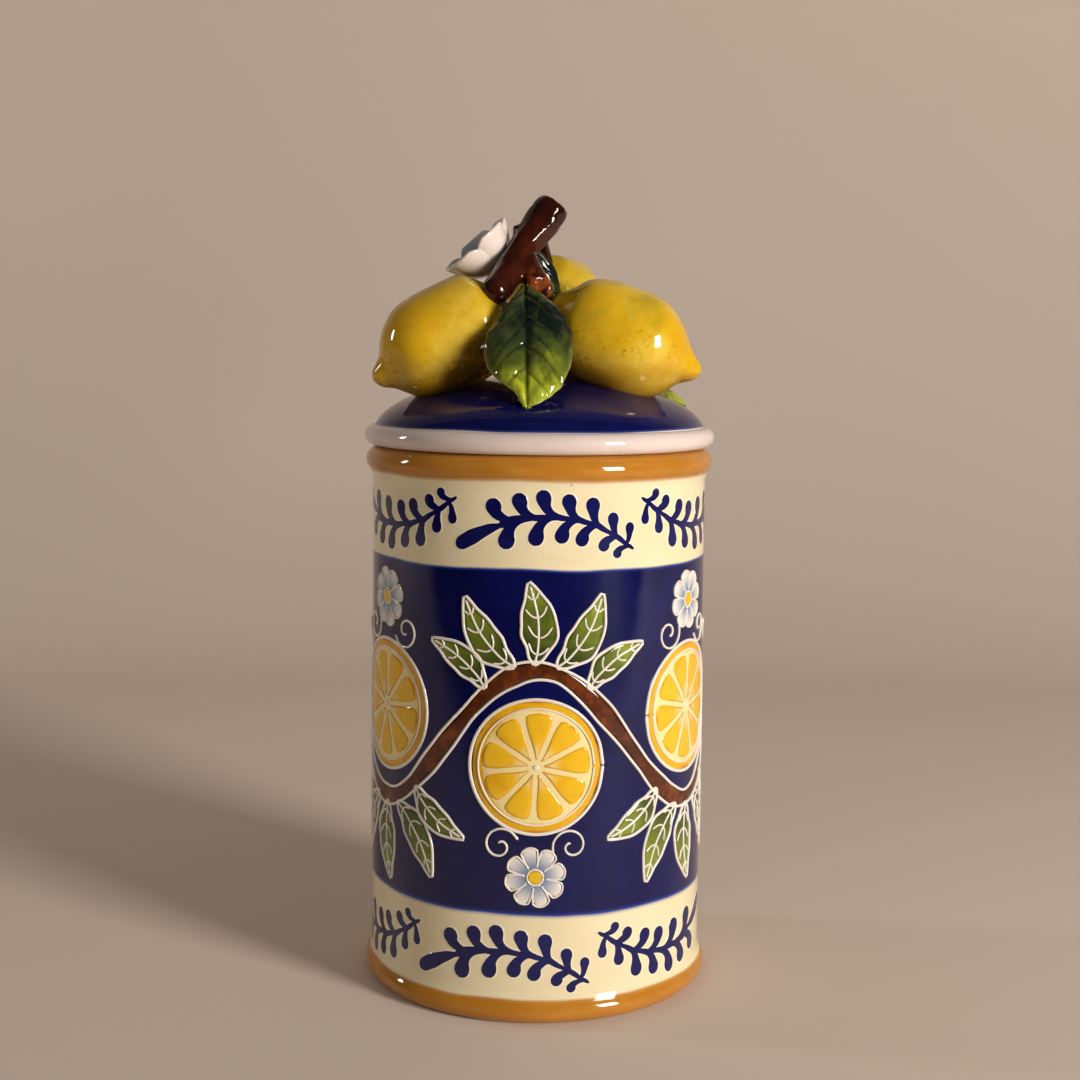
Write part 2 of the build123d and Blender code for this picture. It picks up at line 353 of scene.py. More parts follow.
def makeJarMaterial(setup):
    material, place = newMaterial("jarGlaze")
    axes = axesOf(place)
    cloud = noise(vectorCalc("MULTIPLY", place, (1, 1, 0.15))[0], 24.0, 2.0)
    share = calc("DIVIDE", swayed(axes["Z"], cloud, setup["wobble"] * 2), setup["bandsTop"])
    inside = times(calc("LESS_THAN", calc("SQRT", squareReach(axes)), jarRadius - setup["wall"]),
                   calc("GREATER_THAN", axes["Z"], setup["wall"]))
    bare = calc("LESS_THAN", swayed(axes["Z"], cloud, setup["bareWobble"]), setup["bareTop"])
    deep, thin = (coated(ramp(share, bandStops(setup, suffix)), (inside, setup["cream" + suffix]),
                         (bare, setup["clay"])) for suffix in ("", "Thin"))
    return finishGlaze(material, place, deep, thin, pool=0.45, specks=0.5, waves=0.0005)


# Lid glaze: navy dome, white edge roll and white underside
lidGlaze = {
    **colours(navy=(9, 12, 66), navyThin=(18, 24, 92), white=(220, 206, 200), whiteThin=(210, 194, 187),
              edgeBlue=(50, 66, 130)),
    "line": 199.4 * mm, "blur": 4 * mm, "wobble": 0.9 * mm, "domeBase": 196 * mm, "domeRadius": 60 * mm,
}


def makeLidMaterial(setup):
    material, place = newMaterial("lidGlaze")
    axes = axesOf(place)
    height = swayed(axes["Z"], noise(place, 22.0, 2.0), setup["wobble"] * 2)
    share = spread(height, setup["line"] - setup["blur"], setup["line"] + setup["blur"], kind="LINEAR")
    rise = calc("DIVIDE", calc("SUBTRACT", axes["Z"], setup["domeBase"]),
                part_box("lid_shell")[1].z - setup["domeBase"])
    # inside this ellipse is the hollow under the dome
    ellipse = calc("ADD", calc("DIVIDE", squareReach(axes), setup["domeRadius"]**2), times(rise, rise))
    outside = calc("GREATER_THAN", ellipse, 0.9)
    layers = []
    for suffix in ("", "Thin"):
        white, navy = setup["white" + suffix], setup["navy" + suffix]
        stops = [(0.0, white), (0.48, white), (0.52, setup["edgeBlue"]), (0.60, navy)]
        layers.append(coated(white, (outside, ramp(share, stops))))
    return finishGlaze(material, place, *layers, pool=0.45, specks=0.35)


# Seal: soft milky silicone
sealSilicone = colours(milky=(226, 224, 214), shade=(208, 206, 196))


def makeSealMaterial(setup):
    material, place = newMaterial("sealSilicone", 0.5)
    cloud = spread(noise(place, 120.0, 3.0), 0.3, 0.7)
    feed(shaderOf(material), {
        "Base Color": coated(setup["milky"], (cloud, setup["shade"])),
        "Roughness": spread(cloud, 0.0, 1.0, 0.42, 0.58),
        "Subsurface Weight": 0.15, "Subsurface Scale": 2 * mm,
    })
    return material


def dress(node, material):
    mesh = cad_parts[node].data
    mesh.materials.clear()
    mesh.materials.append(material)
    pick(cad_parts[node])
    bpy.ops.object.shade_smooth_by_angle(angle=radians(40))


dress("jar_body", makeJarMaterial(jarGlaze))
dress("lid_shell", makeLidMaterial(lidGlaze))
dress("lid_seal", makeSealMaterial(sealSilicone))
print("jar, lid and seal glazed")


# Lines and widths that the sculpted pieces share
def smoothLine(points, count):
    # evenly numbered places along a soft curve through the points
    line = [Vector(point) for point in points]
    padded = [line[0] * 2 - line[1], *line, line[-1] * 2 - line[-2]]
    places = []
    for k in range(count):
        run = k / (count - 1) * (len(line) - 1)
        i = min(int(run), len(line) - 2)
        t = run - i
        a, b, c, d = padded[i:i + 4]
        square, cube = 2 * a - 5 * b + 4 * c - d, 3 * b - a - 3 * c + d
        places.append(0.5 * (2 * b + (c - a) * t + square * t**2 + cube * t**3))
    return places


def widthAt(shares, t):
    # reads a list of (place, width) pairs as a soft curve
    for (t0, w0), (t1, w1) in zip(shares, shares[1:]):
        if t <= t1:
            s = (t - t0) / (t1 - t0)
            return w0 + (w1 - w0) * (3 * s**2 - 2 * s**3 + s) / 2
    return shares[-1][1]


def turned(piece, origin, across, normal, along):
    # lays a piece that was made with x across, -y outwards and z along
    turn = Matrix((across, -normal, along)).transposed().to_4x4()
    piece.matrix_world = Matrix.Translation(origin) @ turn


# Lemons: a spun outline with a soft neck and a pinched tip, made lumpy
lemonShape = {
    "radius": 19.1 * mm, "lump": 1.6 * mm, "lumpSize": 17 * mm, "steps": 40, "rings": 52,
    "shoulder": {"from": 0.02, "middle": 0.15, "reach": 0.17},
    "outline": [
        (0.0, 0.0), (0.005, 0.2), (0.02, 0.34), (0.06, 0.46), (0.11, 0.62), (0.18, 0.83), (0.28, 0.96),
        (0.42, 1.01), (0.56, 1.01), (0.68, 0.93), (0.77, 0.78), (0.83, 0.61), (0.87, 0.46), (0.9, 0.345),
        (0.935, 0.26), (0.97, 0.185), (0.99, 0.1), (1.0, 0.0),
    ],
    "places": {
        # node, neck, tip, and how much fuller than the outline the shoulder is
        "lemonLeft": ("lemon_left", (-11.6, -10.9, 242.3), (-58.4, -16.8, 214.9), 0.12),
        "lemonRight": ("lemon_right", (2.6, -12.4, 240.4), (56.1, -20.2, 218.4), 0.0),
        "lemonBack": ("lemon_back", (3.4, 6.2, 257.6), (9.0, 44.4, 214.4), 0.0),
    },
}

lemonGlaze = {
    **colours(yellow=(216, 174, 30), pale=(226, 194, 72), amber=(204, 152, 20), green=(132, 130, 28),
              shade=(132, 90, 8), freckle=(130, 84, 10), pooled=(64, 42, 8)),
    # painted shade where the lemons meet the dome, stretched front to back so it also stands in for the
    # leaf's shadow on them
    "crevice": (-14, -6, 210), "creviceReach": (32 * mm, 19 * mm), "ragged": 12 * mm,
}


def makeLemonMaterial(setup):
    material, place = newMaterial("lemonGlaze")
    along, = marksOf(place, "alongLemon")
    facing = axesOf(addNode(place.id_data, "ShaderNodeNewGeometry").outputs["Normal"])["Z"]
    cloud = noise(place, 45.0, 4.0, 0.6)
    nearNeck = spread(along, 0.02, 0.26, 0.4, 0.0)
    greenPatch = spread(noise(place, 31.0, 3.0), 0.5, 0.68, 0.0, 0.6)
    green = calc("MAXIMUM", nearNeck, times(greenPatch, spread(facing, -0.1, 0.5)))
    low = swayed(facing, cloud, 1.1)
    # painted shade: the lemons darken near the crevice where they sit on the dome
    squeezed = vectorCalc("MULTIPLY", place, (1, 0.45, 1))[0]
    reach = vectorCalc("DISTANCE", squeezed, Vector(setup["crevice"]) * mm)["Value"]
    pooled = spread(swayed(reach, cloud, setup["ragged"]), *setup["creviceReach"], 0.0, 0.85)
    brushed = spread(noise(place, 240.0, 4.0, 0.65), 0.5, 0.72, 0.0, 0.45)
    freckle = times(spread(noise(place, 620.0, 3.0, 0.7), 0.53, 0.68),
                    spread(noise(place, 105.0, 4.0), 0.44, 0.62), spread(low, 0.65, -0.35, 0.12, 0.8))
    colour = coated(
        setup["yellow"],
        (spread(cloud, 0.42, 0.68), setup["pale"]),
        (spread(noise(place, 26.0, 2.0), 0.52, 0.74, 0.0, 0.8), setup["amber"]),
        (green, setup["green"]),
        (spread(low, -0.1, -0.9, 0.0, 0.5), setup["shade"]),
        (pooled, setup["pooled"]),
        (spread(along, 0.93, 1.0, 0.0, 0.22), setup["amber"]),
        (brushed, setup["amber"]),
        (freckle, setup["freckle"]),
    )
    return finishGlaze(material, place, colour, waves=0.0007)


def makeLemon(name, node, neck, tip, shoulder, shape, material):
    bpy.ops.mesh.primitive_plane_add(size=mm)
    lemon = bpy.context.active_object
    edit(lemon)
    bpy.ops.mesh.merge(type="CENTER")
    neck, tip = Vector(neck) * mm, Vector(tip) * mm
    length = (tip - neck).length
    bump = shape["shoulder"]
    profile = []
    for x, radius in shape["outline"]:
        fuller = max(0.0, 1 - abs(x - bump["middle"]) / bump["reach"]) * min(1.0, x / bump["from"])
        profile.append((x * length, 0, (radius + shoulder * fuller) * shape["radius"]))
    profile = smoothLine(profile, shape["rings"])
    for start, end in zip(profile, profile[1:]):
        bpy.ops.mesh.extrude_region_move(TRANSFORM_OT_translate={"value": end - start})
    bpy.ops.mesh.select_all(action="SELECT")
    bpy.ops.mesh.spin(steps=shape["steps"], angle=tau, center=(0, 0, 0), axis=(1, 0, 0))
    doneEditing()
    cleanUp(lemon)
    mark(lemon, "alongLemon", [vertex.co.x / length for vertex in lemon.data.vertices])
    lemon.matrix_world = Matrix.Translation(neck) @ (tip - neck).to_track_quat("X", "Z").to_matrix().to_4x4()
    applyPlace(lemon)
    lumpy(lemon, shape["lumpSize"], shape["lump"])
    smoothed(lemon)
    settle(lemon, name, material)
    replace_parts(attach(lemon, "lid"), node)


lemonMaterial = makeLemonMaterial(lemonGlaze)
for lemonName, lemonPlace in lemonShape["places"].items():
    makeLemon(lemonName, *lemonPlace, lemonShape, lemonMaterial)
print("lemons made")

# Branch: bars welded by a fine remesh, softened at the fork and ridged along its length
branchShape = {
    "limbs": [
        ([(4.9, -1.8, 278.0), (4.0, -2.1, 276.8), (1.2, -3.0, 273.2), (-3.4, -4.8, 266.9),
          (-8.0, -9.2, 259.4), (-12.0, -15.4, 252.0), (-15.2, -20.6, 247.2)],
         [5.6, 6.7, 6.5, 5.7, 5.2, 5.6, 5.4]),
        ([(-6.4, -8.4, 259.6), (-4.4, -12.8, 254.2), (-0.8, -16.8, 248.6)], [4.4, 4.6, 4.6]),
        ([(-6.4, -9.4, 258.4), (-6.8, -14.6, 253.0)], [5.0, 3.4]),
        ([(-0.8, -2.4, 268.0), (0.4, 2.0, 263.5), (2.2, 5.0, 257.0)], [3.0, 2.1, 2.5]),
        ([(-7.4, -6.6, 259.6), (-12.0, -3.8, 256.8), (-16.0, -1.4, 254.9)], [3.0, 2.8, 2.8]),
        ([(-8.2, -6.4, 262.4), (-8.6, -5.0, 266.6), (-8.4, -4.4, 270.2)], [2.0, 1.7, 1.9]),
    ],
    "knobs": [((-15.6, -21.4, 246.8), 5.1), ((1.4, -17.6, 247.6), 3.4), ((-2.6, -18.4, 247.2), 2.8)],
    "voxel": 0.55 * mm, "softening": 7, "ridge": 0.5 * mm, "ridgeSize": 5 * mm,
    "flutes": 6, "fluteRadius": 1.6, "fluteSink": 0.75, "fluteTwist": 0.25,
}

branchGlaze = {
    **colours(brown=(42, 14, 7), red=(66, 24, 12), dark=(28, 11, 7), rubbed=(150, 78, 36)),
    "rubbedDown": (256.5 * mm, 250 * mm), "rubbedAcross": (-7.5 * mm, -3 * mm),
}


def makeBranchMaterial(setup):
    material, place = newMaterial("branchGlaze")
    grain = noise(place, 300.0, 3.0, 0.6, stretch=(1, 1, 0.12), turn=(0.5, -0.6, 0))
    axes = axesOf(place)
    rubbed = times(spread(axes["Z"], *setup["rubbedDown"], 0.0, 0.8),
                   spread(axes["X"], *setup["rubbedAcross"]), spread(noise(place, 260.0, 3.0), 0.38, 0.56))
    colour = coated(
        setup["brown"],
        (spread(noise(place, 70.0, 2.0), 0.38, 0.72), setup["red"]),
        (spread(grain, 0.52, 0.34, 0.0, 0.6), setup["dark"]),
        (rubbed, setup["rubbed"]),
    )
    return finishGlaze(material, place, colour)


def makeBranch(shape):
    bars = []
    for points, radii in shape["limbs"]:
        bars.append(roundBar([Vector(p) * mm for p in points], [r * mm for r in radii], 12))
    spine, spineRadii = shape["limbs"][0]
    sink = shape["fluteSink"] * shape["fluteRadius"]
    for k in range(shape["flutes"]):
        ridge = []
        for j, place in enumerate(spine):
            ahead = Vector(spine[min(j + 1, len(spine) - 1)]) - Vector(spine[max(j - 1, 0)])
            out = ahead.orthogonal().normalized()
            out.rotate(Quaternion(ahead, tau * k / shape["flutes"] + shape["fluteTwist"] * j))
            ridge.append((Vector(place) + out * (spineRadii[j] - sink)) * mm)
        bars.append(roundBar(ridge[2:-1], [shape["fluteRadius"] * mm] * (len(ridge) - 3), 8))
    for place, radius in shape["knobs"]:
        bpy.ops.mesh.primitive_ico_sphere_add(subdivisions=3, radius=radius * mm, location=Vector(place) * mm)
        bars.append(bpy.context.active_object)
    for bar in bars:
        applyPlace(bar)
        cleanUp(bar)
    branch = joinAll(bars)
    modify(branch, "REMESH", mode="VOXEL", voxel_size=shape["voxel"])
    modify(branch, "SMOOTH", factor=0.6, iterations=shape["softening"])
    lumpy(branch, shape["ridgeSize"], shape["ridge"])
    modify(branch, "SMOOTH", factor=0.5, iterations=2)
    settle(branch, "branchBark", makeBranchMaterial(branchGlaze), angle=180)
    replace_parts(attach(branch, "lid"), "branch")


makeBranch(branchShape)
print("branch made")

# Leaves: a flat blade cut to its outline, veins pressed in, then bowed, cupped and given thickness
leafShape = {
    "rows": 84, "columns": 44, "thickness": 2.1 * mm, "veinWidth": 0.7 * mm, "veinDepth": 0.7 * mm,
    "puff": 1.4 * mm, "dents": 2.2 * mm, "dentSize": 9 * mm, "fullWidth": 30, "cup": 34 * mm, "rimFrom": 0.86,
    "waves": [(0.018, 23), (0.010, 47)],  # height and rate of each wave along the rim
    "sideVeins": [(0.10, 1.1, 0.8), (0.27, 0.8, 1.0), (0.41, 1.0, 0.95), (0.55, 0.7, 1.0), (0.72, 0.95, 0.8)],
    "leftOutline": [
        (0.0, 0.06), (0.05, 0.10), (0.14, 0.25), (0.19, 0.36), (0.25, 0.49), (0.3, 0.62), (0.36, 0.76),
        (0.44, 0.88), (0.52, 0.94), (0.6, 0.95), (0.68, 0.91), (0.75, 0.82), (0.8, 0.68), (0.85, 0.45),
        (0.9, 0.27), (0.95, 0.17), (1.0, 0.07),
    ],
    "rightOutline": [
        (0.0, 0.06), (0.05, 0.14), (0.14, 0.46), (0.19, 0.63), (0.25, 0.79), (0.3, 0.92), (0.36, 1.02),
        (0.44, 1.10), (0.51, 1.07), (0.6, 1.04), (0.66, 1.03), (0.75, 0.95), (0.84, 0.81), (0.91, 0.61),
        (0.96, 0.37), (1.0, 0.07),
    ],
}

leafPlaces = {
    "leafFront": {"node": "leaf_front", "base": (-5.4, -19.6, 249.6), "tip": (-4.3, -52.0, 206.6),
                  "facing": (0, -0.8, 0.6), "width": 31.6, "bow": 4.5, "lift": 0.3},
    "leafRight": {"node": "leaf_right", "base": (12.9, 8.6, 216.9), "tip": (54.5, 10.6, 204.8),
                  "facing": (0.35, -0.25, 0.88), "width": 20.5, "bow": 5.6, "lift": 0.2},
    "leafTop": {"node": "leaf_top", "base": (-3.4, -4.4, 263.8), "tip": (4.6, -2.0, 236.0),
                "facing": (0.45, -0.85, 0.2), "width": 12.4, "bow": 1.5, "lift": 0.0},
}

leafGlaze = colours(deep=(17, 28, 24), olive=(80, 92, 33), lime=(164, 176, 46), vein=(20, 28, 12),
                    moss=(68, 78, 44), rim=(166, 178, 84))


def makeLeafMaterial(setup):
    material, place = newMaterial("leafGlaze")
    along, vein, rim, side = marksOf(place, "alongLeaf", "veinLeaf", "rimLeaf", "sideLeaf")
    cloud = noise(place, 75.0, 4.0, 0.62)
    share = swayed(along, cloud, 0.5)
    deep, olive, lime = setup["deep"], setup["olive"], setup["lime"]
    streak = noise(place, 170.0, 3.0, 0.6, stretch=(1, 1, 0.35), turn=(0.4, 0.7, 0))
    moss = times(spread(swayed(side, cloud, 1.6), 0.05, -0.35), spread(along, 0.75, 0.45), 0.7)
    colour = coated(
        ramp(share, [(0.0, olive), (0.16, deep), (0.5, deep), (0.68, olive), (0.86, lime), (1.0, lime)]),
        (moss, setup["moss"]),
        (spread(streak, 0.5, 0.7, 0.0, 0.5), olive),
        (spread(streak, 0.48, 0.3, 0.0, 0.55), setup["vein"]),
        (times(vein, 0.75), setup["vein"]),
        (times(rim, spread(share, 0.3, 0.9, 0.05, 0.55)), setup["rim"]),
    )
    return finishGlaze(material, place, colour)


def veinWeight(x, z, length, width, shape):
    # 1 in a vein, 0 away from it; x across and z along from the base
    half = width / 2
    weight = max(0.0, 1.0 - abs(x) / (shape["veinWidth"] * 1.25)) * min(1.0, (length - z) / (0.12 * length))
    for start, slope, run in shape["sideVeins"]:
        shift = 0.035 * length if x > 0 else 0.0
        rise = z - start * length - shift - abs(x) * (slope + 0.45 * abs(x) / half)
        fade = max(0.0, 1.0 - abs(x) / (0.92 * half * run))
        near = max(0.0, 1.0 - abs(rise) / (1.5 * shape["veinWidth"]))
        weight = max(weight, near * min(1.0, 1.6 * fade))
    return weight


def makeLeaf(name, setup, shape, material):
    base, tip = Vector(setup["base"]) * mm, Vector(setup["tip"]) * mm
    along = (tip - base).normalized()
    facing = Vector(setup["facing"])
    normal = (facing - along * facing.dot(along)).normalized()
    length, width, bow = (tip - base).length, setup["width"] * mm, setup["bow"] * mm
    leaf = standingSheet(shape["columns"], shape["rows"], width, length)
    marks = {"alongLeaf": [], "veinLeaf": [], "rimLeaf": [], "sideLeaf": []}
    pressed = leaf.vertex_groups.new(name="pressed")
    puffed = leaf.vertex_groups.new(name="puffed")
    for vertex in leaf.data.vertices:
        z = vertex.co.z + length / 2
        share = min(max(z / length, 0.0), 1.0)
        reach = widthAt(shape["leftOutline" if vertex.co.x < 0 else "rightOutline"], share)
        x = vertex.co.x * reach * (1.0 + sum(wave * sin(rate * share) for wave, rate in shape["waves"]))
        vertex.co.x = x
        half = max(width / 2 * reach, 0.2 * mm)
        across = min(abs(x) / half, 1.0)
        weight = veinWeight(x, z, length, width, shape)
        rim = max(0.0, (across - shape["rimFrom"]) / (1 - shape["rimFrom"]))
        for values, value in zip(marks.values(), (share, weight, rim, x / half)):
            values.append(value)
        pressed.add([vertex.index], weight, "REPLACE")
        puffed.add([vertex.index], (1 - (2 * across - 1) ** 2) * min(1.0, half / (width / 4)), "REPLACE")
    for key, values in marks.items():
        mark(leaf, key, values)
    scale = setup["width"] / shape["fullWidth"]
    for group, depth in (("puffed", -shape["puff"] * scale), ("pressed", shape["veinDepth"])):
        modify(leaf, "DISPLACE", strength=depth, mid_level=0, vertex_group=group, direction="Y")
    lumpy(leaf, shape["dentSize"], shape["dents"] * scale, direction="Y")
    bowRadius = (bow**2 + (length / 2) ** 2) / (2 * bow)
    bend(leaf, "X", length / bowRadius)
    bend(leaf, "Z", width / shape["cup"])
    modify(leaf, "SOLIDIFY", thickness=shape["thickness"], offset=-1)
    cleanUp(leaf)
    smoothed(leaf)
    turned(leaf, (base + tip) / 2 + normal * (bow + setup["lift"] * mm), normal.cross(along), normal, along)
    settle(leaf, name, material, angle=180)
    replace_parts(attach(leaf, "lid"), setup["node"])


leafMaterial = makeLeafMaterial(leafGlaze)
for leafName, leafSetup in leafPlaces.items():
    makeLeaf(leafName, leafSetup, leafShape, leafMaterial)
print("leaves made")

# Blossom: five cupped petals, white outside and blue-grey inside, round a yellow button
flowerShape = {
    "foot": (-15.5, -1.4, 254.6), "axis": (-0.661, -0.120, 0.741), "turn": 27.0,
    "length": 20.2 * mm, "width": 19.6 * mm, "cupRadius": 13.4 * mm, "curl": 9.4 * mm, "thickness": 1.4 * mm,
    "rows": 18, "columns": 14, "flare": 1.2 * mm, "flareFrom": 0.72,
    "outline": [(0.0, 0.34), (0.2, 0.60), (0.42, 0.90), (0.60, 1.0), (0.76, 0.97), (0.88, 0.85), (0.95, 0.70),
                (1.0, 0.52)],
    "tilts": [1, 0, 3, -1, -2],
}

petalGlaze = colours(white=(226, 216, 210), blue=(176, 190, 202), warm=(222, 206, 196))


def makePetalMaterial(setup):
    material, place = newMaterial("petalGlaze")
    along, inner = marksOf(place, "alongPetal", "innerPetal")
    cloud = noise(place, 210.0, 3.0)
    blue = times(spread(swayed(along, cloud, 0.3), 1.1, 0.8), inner)
    colour = coated(setup["white"], (spread(cloud, 0.4, 0.7), setup["warm"]), (blue, setup["blue"]))
    return finishGlaze(material, place, colour, waves=0.0005)


def makePetal(setup):
    length = setup["length"]
    petal = standingSheet(setup["columns"], setup["rows"], setup["width"], length, length / 2)
    mark(petal, "alongPetal", [vertex.co.z / length for vertex in petal.data.vertices])
    for vertex in petal.data.vertices:
        share = min(max(vertex.co.z / length, 0.0), 1.0)
        vertex.co.x *= widthAt(setup["outline"], share)
        vertex.co.y += setup["flare"] * (max(0.0, share - setup["flareFrom"]) / (1 - setup["flareFrom"])) ** 2
    bend(petal, "Z", -setup["width"] / setup["curl"])
    bend(petal, "X", -length / setup["cupRadius"])
    modify(petal, "SOLIDIFY", thickness=setup["thickness"], offset=1)
    cleanUp(petal)
    smoothed(petal, 2)
    return petal


def makeFlower(setup):
    axis = Vector(setup["axis"]).normalized()
    level = Vector((0, 0, 1)).cross(axis).normalized()
    foot = Vector(setup["foot"]) * mm
    petals = []
    for k, tilt in enumerate(setup["tilts"]):
        petal = makePetal(setup)
        turn = radians(setup["turn"] + k * 360 / len(setup["tilts"]))
        out = level * cos(turn) + axis.cross(level) * sin(turn)
        across = out.cross(axis)
        turned(petal, (0, 0, 0), across, axis, out)
        tilted = Matrix.Rotation(radians(tilt), 4, across)
        petal.matrix_world = Matrix.Translation(foot) @ tilted @ petal.matrix_world
        applyPlace(petal)
        petals.append(petal)
    cup = joinAll(petals)
    middle = foot + axis * setup["cupRadius"]
    mark(cup, "innerPetal", [float(point.normal.dot(middle - point.co) > 0) for point in cup.data.vertices])
    settle(cup, "flowerPetals", makePetalMaterial(petalGlaze), angle=180)
    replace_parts(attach(cup, "lid"), "flower_petals")


buttonShape = {
    "radius": 3.3 * mm, "height": 0.62, "lift": 2.8 * mm, "lump": 0.8 * mm, "lumpSize": 1.2 * mm,
    **colours(yellow=(224, 178, 40), brown=(150, 96, 24)),
}


def makeButton(setup, flower):
    axis = Vector(flower["axis"]).normalized()
    bpy.ops.mesh.primitive_ico_sphere_add(subdivisions=4, radius=setup["radius"])
    button = bpy.context.active_object
    laid = Matrix.Translation(Vector(flower["foot"]) * mm + axis * setup["lift"])
    turn = axis.to_track_quat("Z", "Y").to_matrix().to_4x4()
    button.matrix_world = laid @ turn @ Matrix.Diagonal((1, 1, setup["height"], 1))
    applyPlace(button)
    lumpy(button, setup["lumpSize"], setup["lump"])
    material, place = newMaterial("buttonGlaze")
    spots = spread(noise(place, 700.0, 2.0), 0.45, 0.62)
    colour = coated(setup["yellow"], (spots, setup["brown"]))
    settle(button, "flowerButton", finishGlaze(material, place, colour), angle=180)
    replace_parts(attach(button, "lid"), "flower_centre")


makeFlower(flowerShape)
makeButton(buttonShape, flowerShape)
print("blossom made")

# Painted ornament: strokes are laid flat, x along the wall and z up in millimetres, then bent round the jar
def strokeRows(path, count):
    # places and directions along a stroke, closer together near its ends
    fine = smoothLine([(x, 0, z) for x, z in path], 12 * len(path))
    reach = [0.0]
    for start, end in zip(fine, fine[1:]):
        reach.append(reach[-1] + (end - start).length)
    rows, i = [], 0
    for k in range(count):
        even = k / (count - 1)
        distance = reach[-1] * (0.4 * even + 0.6 * (1 - cos(pi * even)) / 2)
        while i < len(fine) - 2 and reach[i + 1] < distance:
            i += 1
        share = (distance - reach[i]) / max(reach[i + 1] - reach[i], 1e-9)
        before, after = fine[max(i - 1, 0)], fine[min(i + 2, len(fine) - 1)]
        rows.append((fine[i].lerp(fine[i + 1], share), (after - before).normalized(), distance))
    return rows, reach[-1]


def paintStroke(path, widths, rows=16, columns=6, lift=0.1, swell=0.1, sunk=0.12, ends=(1, 1), grow=0.0):
    # widths are (share of the length, width); ends say how round each end is, 1 for a half circle
    if grow:
        first, last = Vector(path[0]), Vector(path[-1])
        path = [first + (first - Vector(path[1])).normalized() * grow, *path[1:-1],
                last + (last - Vector(path[-2])).normalized() * grow]
    line, length = strokeRows(path, rows)
    bpy.ops.mesh.primitive_grid_add(x_subdivisions=columns, y_subdivisions=rows - 1, size=1)
    stroke = bpy.context.active_object
    edge = stroke.data.attributes.new("edgeDistance", "FLOAT", "POINT")
    for vertex in stroke.data.vertices:
        side = sin(vertex.co.x * pi)
        place, along, distance = line[round((vertex.co.y + 0.5) * (rows - 1))]
        half = widthAt(widths, distance / length) / 2 + grow
        inner = half * (1 - abs(side))
        for roundness, toEnd in zip(ends, (distance, length - distance)):
            reach = min(half * roundness, length / 2)
            if toEnd < reach:
                half *= sqrt(max(1 - ((reach - toEnd) / reach) ** 2, 0.0)) + 0.001
                inner = min(inner, toEnd)
        edge.data[vertex.index].value = inner
        across = Vector((along.z, 0, -along.x)) * side * half
        dome = sqrt(max(1 - side**2, 0.0))
        proud = -sunk + (lift + sunk) * min(1.0, dome * 2.2) + swell * dome
        vertex.co = place + across - Vector((0, proud, 0))
    return stroke


def trailSlip(paint, path, width=1.05, rows=None):
    # raised white slip, trailed from a fine nozzle
    rows = rows or max(6, ceil(sum((Vector(b) - Vector(a)).length for a, b in zip(path, path[1:])) / 1.3))
    widths = [(0, width * 1.25), (0.06, width), (0.94, width), (1, width * 1.15)]
    paint["slip"].append(paintStroke(path, widths, rows=rows, lift=0.16, swell=0.34))


def dab(middle, half, along, **look):
    # a round dab, brushed along
    middle, run = Vector(middle), Vector(along) * half
    return paintStroke([middle - run, middle, middle + run], [(0, 2 * half), (1, 2 * half)], **look)


def heading(angle):
    return Vector((cos(angle), sin(angle)))


def ring(middle, radius, count):
    return [Vector(middle) + heading(tau * k / count) * radius for k in range(count + 1)]


def outlineOf(path, widths, outset=0.25, count=9):
    # the closed line round a stroke, as places for a slip line
    rows, length = strokeRows(path, count)
    left, right = [], []
    for place, along, distance in rows[1:-1]:
        half = widthAt(widths, distance / length) / 2 + outset
        across = Vector((along.z, 0, -along.x)) * half
        right.append((place + across).xz)
        left.append((place - across).xz)
    first = rows[0][0] - rows[0][1] * outset
    last = rows[-1][0] + rows[-1][1] * outset
    return [first.xz, *right, last.xz, *reversed(left), first.xz]


def repeated(motif, places):
    # copies of flat paint in its own plane; places say how far along and up, and how each is mirrored
    copies = []
    for x, z, flipX, flipZ in places:
        double = linked(motif.name, motif.data.copy())
        double.data.transform(Matrix.Translation((x, 0, z)) @ Matrix.Diagonal((flipX, 1, flipZ, 1)))
        if flipX * flipZ < 0:
            double.data.flip_normals()
        copies.append(double)
    bpy.data.objects.remove(motif)
    return copies


def coveReach(z, cove=9 * mm, low=11.65 * mm, high=179.16 * mm):
    # how far the wall has swung out where it runs into the foot or the rim
    past = min(max(low - z, z - high, 0.0), 0.9 * cove)
    return cove - sqrt(cove**2 - past**2)


def layOnJar(pieces, name, material, angle=180):
    paint = joinAll(pieces)
    paint.data.transform(Matrix.Scale(mm, 4))
    for vertex in paint.data.vertices:
        vertex.co.y -= coveReach(vertex.co.z)
    places = [vertex.co.x for vertex in paint.data.vertices]
    bend(paint, "Z", (max(places) - min(places)) / jarRadius)
    paint.location.y = -jarRadius
    settle(paint, name, material, angle=angle)
    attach(paint, "jar")


